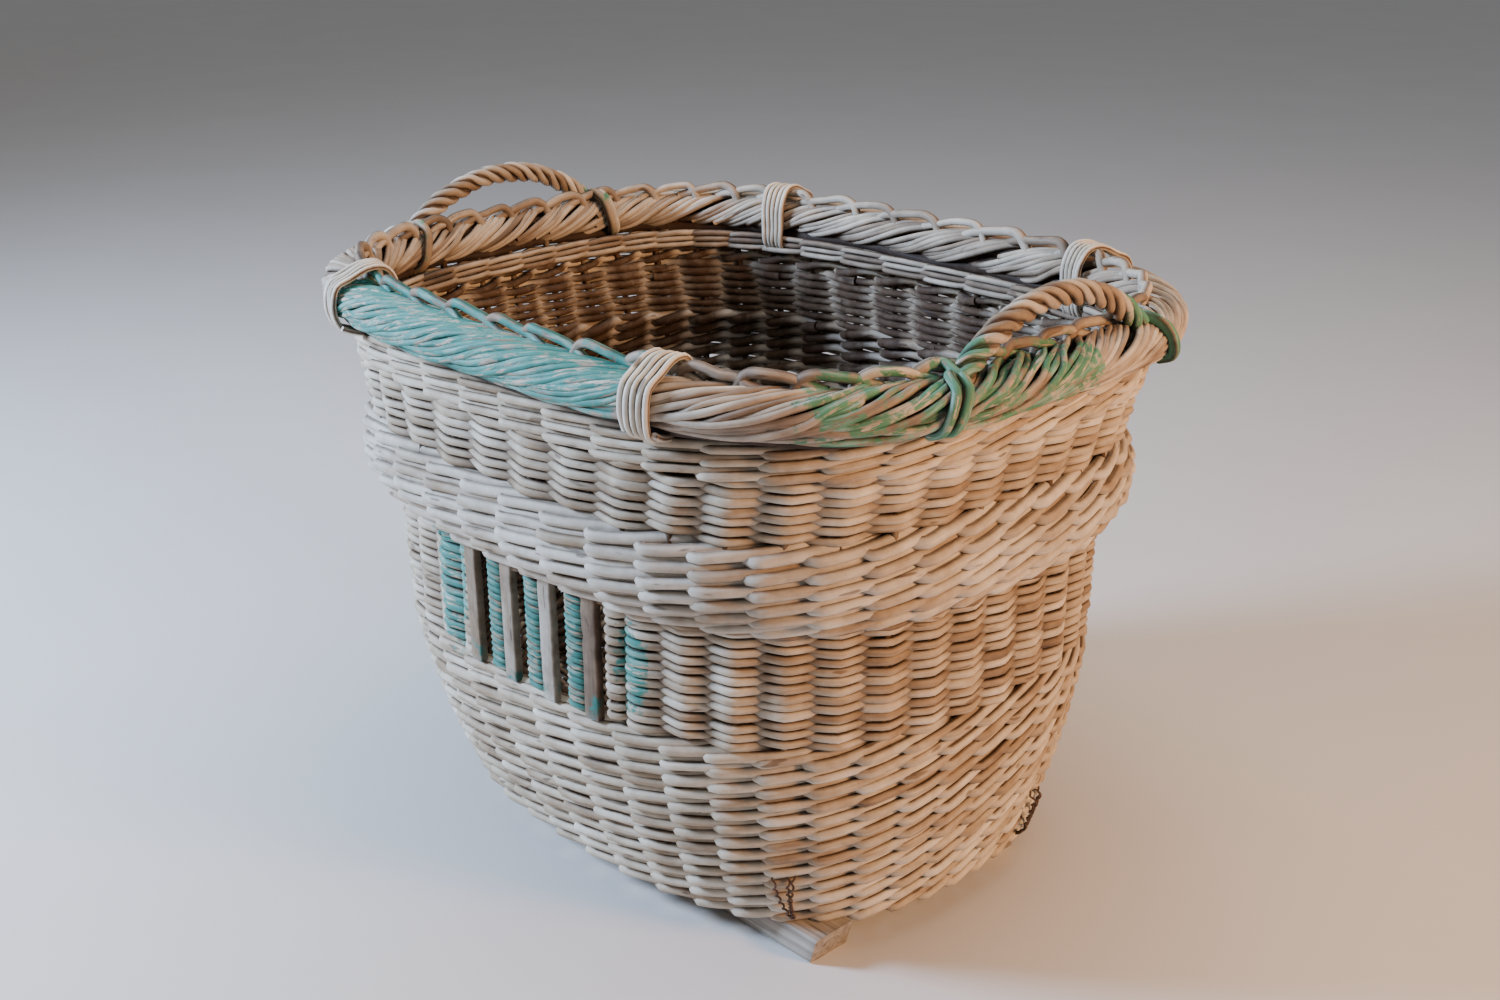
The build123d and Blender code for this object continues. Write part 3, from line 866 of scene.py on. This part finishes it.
# Inner layer: between each two stakes, a lens of three rods that bulges inwards under the roll.
LENS_KEYS = (
    # stations past the lens's middle, millimetres inside the wall's face and above its middle, and fan
    (0.95, 14, -3, 0.3),
    (0.68, 26, -1, 0.75),
    (0.35, 33, 1, 1.0),
    (0.0, 35, 2, 1.05),
    (-0.35, 33, 2, 1.0),
    (-0.68, 26, 2, 0.75),
    (-0.95, 14, 3, 0.3),
)
for station in range(STATIONS):
    for number in range(3):
        keys = np.array(LENS_KEYS, dtype=float)
        keys[:, 0] += station + 0.5 + random.normal(0, 0.04, len(keys))
        keys[:, 2] += 7.0 * (number - 1) * keys[:, 3]
        line = glide(keys, 18)
        points, normals = wall(angle_at(line[:, 0]), RIM_TOP - 8 * MM, line[:, 1] * MM)
        points[:, 2] = RIM_TOP - 8 * MM + line[:, 2] * MM
        core.rod(points, 3.5 * MM * (1 + random.normal(0, 0.06)), normals, None, 0.0, 0.3)
core.build(willow_border, ["border"], "border_willow")

# Chain: single rods along the inner top edge, each with an elbow that holds down the next one's end.
chain_low, chain_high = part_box("border_chain")
CHAIN_RADIUS = 4.6 * MM
chain_out = chain_high[0] - roll_long - CHAIN_RADIUS - 1 * MM
chain_level = (chain_low[2] + chain_high[2]) / 2
CHAIN_KEYS = (
    # stations past the link's own, millimetres inwards and upwards from the chain's middle line
    (-0.27, -3.0, -20.0),
    (-0.19, -2.0, -12.0),
    (-0.10, -1.0, -3.5),
    (0.04, 0.0, 2.4),
    (0.24, 1.0, 4.0),
    (0.60, 0.5, 1.0),
    (0.88, -0.5, -2.5),
    (1.08, 1.0, -5.5),
    (1.30, 3.0, -10.0),
)
chain = Piece("border_chain_rods", 9)
for station in range(STATIONS):
    keys = np.array(CHAIN_KEYS)
    keys[:, 0] += station + random.normal(0, 0.04)
    keys[:, 1:] += random.normal(0, 0.6, (len(keys), 2))
    line = glide(keys, 30)
    points, normals = roll_place(line[:, 0], chain_out + line[:, 1] * MM, chain_level + line[:, 2] * MM)
    tone = np.clip(random.normal(0.5, 0.22), 0, 1)
    elbow = np.exp(-(((np.arange(30) - 8) / 5.0) ** 2))
    paint = border_paint(points, tone) * (1 - 0.7 * elbow)
    thick = CHAIN_RADIUS * (1 + random.normal(0, 0.07)) * (1 + 0.12 * elbow)
    chain.rod(points, thick, normals, tone - 0.2 * elbow, paint, 0.1)
chain.build(willow_border, ["border_chain"], "border_willow")

# ---------------------------------------------------------------- bindings

BINDING_PLACE = 228 * MM
BINDING_TURNS = 5
BINDING_ROD = 3.0 * MM
BINDING_KEYS = (
    # millimetres out from the roll's middle line, and above its middle, once round the section
    (27, -18),
    (32, 0),
    (28, 20),
    (13, 29),
    (-6, 37),
    (-24, 35),
    (-33, 16),
    (-33, -8),
    (-32, -26),
    (-22, -35),
    (-2, -29),
    (15, -25),
)
for node, along, across in (
    ("binding_front_left", -1, -1),
    ("binding_front_right", 1, -1),
    ("binding_back_left", -1, 1),
    ("binding_back_right", 1, 1),
):
    binding = Piece(f"{node}_rods")
    place = BINDING_PLACE / roll_long
    reach = (1 - place**BORDER_SQUARENESS) ** (1 / BORDER_SQUARENESS)
    middle_angle = np.arctan2(across * reach, along * place)
    centre, normal = oval(roll_long, roll_wide, BORDER_SQUARENESS, np.array(middle_angle))
    sideways = np.cross(UP, normal)
    loops = np.array(list(BINDING_KEYS) * BINDING_TURNS + [BINDING_KEYS[0]], dtype=float)
    loops += random.normal(0, 0.5, loops.shape)
    loop = glide(loops, BINDING_TURNS * 40)
    turn = np.linspace(-0.5, 0.5, len(loop)) * (BINDING_TURNS * 2 * BINDING_ROD)
    top_spread = 1 + 0.12 * np.sin(np.linspace(0, 2 * np.pi * BINDING_TURNS, len(loop)))
    points = centre + normal * loop[:, :1] * MM + sideways * (turn * top_spread)[:, None]
    points[:, 2] = ROLL_LEVEL + loop[:, 1] * MM
    hub = centre.copy()
    hub[2] = ROLL_LEVEL
    facing = points - hub
    facing -= sideways * (facing @ sideways)[:, None]
    tone = 0.55 + 0.2 * np.sin(np.linspace(0, 9, len(loop)))
    binding.rod(points, BINDING_ROD, facing, tone, 0.04, 0.1)
    binding.build(willow_binding, [node], "binding_willow")

# ---------------------------------------------------------------- handles

STRANDS = 4
STRAND_RADIUS = 4.9 * MM
STRAND_ORBIT = 6.6 * MM
STRAND_PITCH = 68 * MM
HANDLE_RISE = 45 * MM
HANDLE_HALF_SPAN = 118 * MM
BOW_STEPS = 90
STRAND_STEPS = 190
bow_radius = (HANDLE_HALF_SPAN**2 + HANDLE_RISE**2) / (2 * HANDLE_RISE)
OUTSIDE_TAIL = (
    # stations away from the handle, degrees round the roll, millimetres above its surface
    (0.05, 78, 3.0),
    (0.16, 42, 3.5),
    (0.30, 8, 3.5),
    (0.42, -26, 3.0),
    (0.50, -58, -2.0),
)
INSIDE_TAIL = (
    # the same, for the strands that run down inside the basket
    (0.02, 104, 8.0),
    (0.12, 134, 9.0),
    (0.24, 168, 5.0),
    (0.34, 204, 3.0),
    (0.40, 236, -2.0),
)
end_stations = np.linspace(SIDE_STAKES - 0.5, SIDE_STAKES + END_STAKES - 0.5, 200)
end_widths = roll_place(end_stations, np.zeros(200), 0)[0][:, 1]
for end, along in (("left", -1), ("right", 1)):
    low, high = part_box(f"handle_{end}_twist")
    bow_x = (low[0] + high[0]) / 2
    bow_y = (low[1] + high[1]) / 2
    apex = high[2] - (high[0] - low[0]) / 2
    hub = np.array([bow_x, bow_y, apex - bow_radius])
    bow_reach = np.arcsin(HANDLE_HALF_SPAN / bow_radius) + 0.02
    handle = Piece(f"handle_{end}_twist_rods", 9)
    turn = np.linspace(-bow_reach, bow_reach, BOW_STEPS)
    spine_out = np.stack([np.zeros(BOW_STEPS), np.sin(turn), np.cos(turn)], -1)
    spine = hub + bow_radius * spine_out
    level = np.array([1.0, 0.0, 0.0])
    core_rod = Piece(f"handle_{end}_core_rod", 10)
    # The core inside the twist is drawn dark, with painted shade from depth 0.9.
    core_rod.rod(spine, 4.6 * MM, spine_out, 0.15, 0.0, 0.9)
    core_rod.build(willow_stake, [f"handle_{end}_core"], "handle_willow")
    for strand in range(STRANDS):
        wind = bow_radius * turn / STRAND_PITCH * 2 * np.pi + 2 * np.pi * strand / STRANDS
        wind = wind + 0.12 * np.sin(3 * wind + strand)
        facing = spine_out * np.cos(wind)[:, None] + level * np.sin(wind)[:, None]
        points = spine + facing * STRAND_ORBIT
        tails = []
        for foot in (0, -1):
            sign = np.sign(points[foot, 1] - bow_y)
            place = np.interp(along * points[foot, 1], end_widths, end_stations) + (along < 0) * HALF_ROUND
            outward = (strand + (foot == 0)) % 2 == 0
            keys = np.array(OUTSIDE_TAIL if outward else INSIDE_TAIL)
            stations = place + along * sign * (keys[:, 0] + 0.17 * (strand // 2))
            tails.append(roll_skin(stations, np.radians(keys[:, 1]), -keys[:, 2] * MM)[0])
        whole = np.vstack([tails[0][::-1], points[::3], points[-1:], tails[1]])
        line = glide(whole, STRAND_STEPS)
        centre = np.clip(line[:, 1], spine[0, 1], spine[-1, 1])
        inner = [np.full(STRAND_STEPS, bow_x), centre, np.interp(centre, spine[:, 1], spine[:, 2])]
        facing = line - np.stack(inner, -1) + UP * 1e-4
        tone = np.clip(random.normal(0.5, 0.2), 0, 1)
        feet = np.abs(line[:, 1] - bow_y) / (points[-1, 1] - bow_y)
        paint = 0.25 + 0.55 * smooth((feet - 0.55) / 0.4) * (1.0 if end == "right" else 0.5)
        thick = STRAND_RADIUS * (1 + random.normal(0, 0.08))
        handle.rod(line, thick, facing, tone, paint, 0.2)
    handle.build(willow_handle, [f"handle_{end}_twist"], "handle_willow")

# ---------------------------------------------------------------- runners and wire ties

RUNNER_SLANT = 9 * MM
for name in ("runner_front", "runner_back"):
    low, high = np.array(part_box(name)[0]), np.array(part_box(name)[1])
    width, height = high[1] - low[1], high[2] - low[2]
    section = rounded_bar(width, height, 0.1, 4)
    count = 60
    x = np.linspace(low[0], high[0], count)
    middle = (low + high) / 2
    points = np.stack([x, np.full(count, middle[1]), np.full(count, middle[2])], -1)
    runner = Piece(f"{name}_wood", soft=False)
    runner.rod(points, 1.0, UP, 0.5, 0.0, 0.0, section)
    skin = runner.rods[0]["skin"]
    share = (x - middle[0]) / (high[0] - middle[0])
    lowness = (high[2] - skin[..., 2]) / height
    skin[..., 0] -= (RUNNER_SLANT * share)[:, None] * lowness
    worn = waver(np.arange(count) / 6.0, 0.35 * MM)[:, None]
    skin[..., 1] += worn * np.sign(skin[..., 1] - middle[1]) * 0.8
    skin[..., 2] -= np.abs(worn) * (skin[..., 2] > middle[2])
    runner.rods[0]["caps"] = skin[[0, -1]].mean(1)
    stained = smooth((np.abs(share) - 0.96) / 0.04)
    runner.rods[0]["depth"] = np.broadcast_to(stained[:, None], skin.shape[:2])
    runner.build(wood, [name], "runner_wood")

ties = Piece("runner_tie_wires")
tie_low, tie_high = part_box("runner_ties")
# Places along the basket, and the side: -1 is the front.
TIE_PLACES = ((262 * MM, -1), (314 * MM, 1))
TIE_TURNS = 7
WIRE_STEPS = 90
WIRE_RADIUS = 1.1 * MM
for place, across in TIE_PLACES:
    z = np.linspace(tie_low[2] + 1 * MM, tie_high[2], WIRE_STEPS)
    angle = -across * front_angle(place, LOWER_FOOT + EDGE)
    spread = smooth((z - z[0]) / 0.012) * smooth((z[-1] - z) / 0.012)
    base, normals = wall(np.full(WIRE_STEPS, angle), z, 0.0)
    tangent = np.cross(UP, normals)
    for strand, lean in ((0, 0), (1, 3), (0.5, -16)):
        wind = np.linspace(0, 2 * np.pi * TIE_TURNS, WIRE_STEPS) + np.pi * strand
        out = -6 * MM + 9 * MM * spread
        points = base + normals * (out + 1.4 * MM * np.cos(wind))[:, None]
        sideways = 1.4 * np.sin(wind) + 2 * np.sin(z * 60 + strand) + lean * (z - z[0]) / (z[-1] - z[0])
        points += tangent * sideways[:, None] * MM
        ties.rod(points, WIRE_RADIUS, normals, 0.5, 0.0, 0.0)
ties.build(wire, ["runner_ties"], "tie_wire")

# ---------------------------------------------------------------- floor, light and camera


def pale_floor():
    s = Shader("pale_floor")
    fleck = s.noise(s.place(), 3.0, 3.0)
    colour = s.mix(fleck, tint(208, 206, 203), tint(200, 198, 195))
    return s.finish(colour, 0.8, s.bump(fleck, 0.05, 1 * MM))


mesh = bpy.data.meshes.new("floor")
mesh.from_pydata([(-40, -40, 0), (40, -40, 0), (40, 40, 0), (-40, 40, 0)], [], [(0, 1, 2, 3)])
mesh.materials.append(pale_floor())
floor = bpy.data.objects.new("floor", mesh)
bpy.context.scene.collection.objects.link(floor)

world = bpy.data.worlds.new("studio")
bpy.context.scene.world = world
world.use_nodes = True
sky = world.node_tree.nodes["Background"]
sky.inputs["Color"].default_value = tint(236, 238, 242)
sky.inputs["Strength"].default_value = 0.3


def softbox(name, place, aim, size, power, colour):
    light = bpy.data.lights.new(name, "AREA")
    light.shape = "DISK"
    light.size = size
    light.energy = power
    light.color = colour[:3]
    lamp = bpy.data.objects.new(name, light)
    lamp.location = place
    lamp.rotation_euler = (Vector(aim) - Vector(place)).to_track_quat("-Z", "Y").to_euler()
    bpy.context.scene.collection.objects.link(lamp)


softbox("cool_key", (-1.9, -2.0, 1.7), (0, 0, 0.3), 0.8, 230, tint(198, 221, 255))
softbox("warm_side", (2.7, 0.7, 1.3), (0, 0, 0.3), 0.8, 105, tint(255, 190, 130))
softbox("top_fill", (0.2, 0.3, 2.9), (0, 0, 0.4), 2.0, 42, tint(255, 246, 236))

# Camera at the photograph's viewing angle: place, then heading, tilt and roll in degrees.
CAMERA_PLACE = (1.281, -1.166, 1.009)
HEADING, TILT, ROLL = radians(137.28), radians(20.99), radians(-0.62)
forward = Vector((cos(HEADING) * cos(TILT), sin(HEADING) * cos(TILT), -sin(TILT)))
right = Vector((sin(HEADING), -cos(HEADING), 0))
upward = right.cross(forward)
right, upward = cos(ROLL) * right + sin(ROLL) * upward, cos(ROLL) * upward - sin(ROLL) * right
turn = Matrix((right, upward, -forward)).transposed()
lens = bpy.data.cameras.new("camera")
lens.lens = 42.1
lens.sensor_width = 36
camera = bpy.data.objects.new("camera", lens)
camera.matrix_world = Matrix.Translation(CAMERA_PLACE) @ turn.to_4x4()
bpy.context.scene.collection.objects.link(camera)
bpy.context.scene.camera = camera
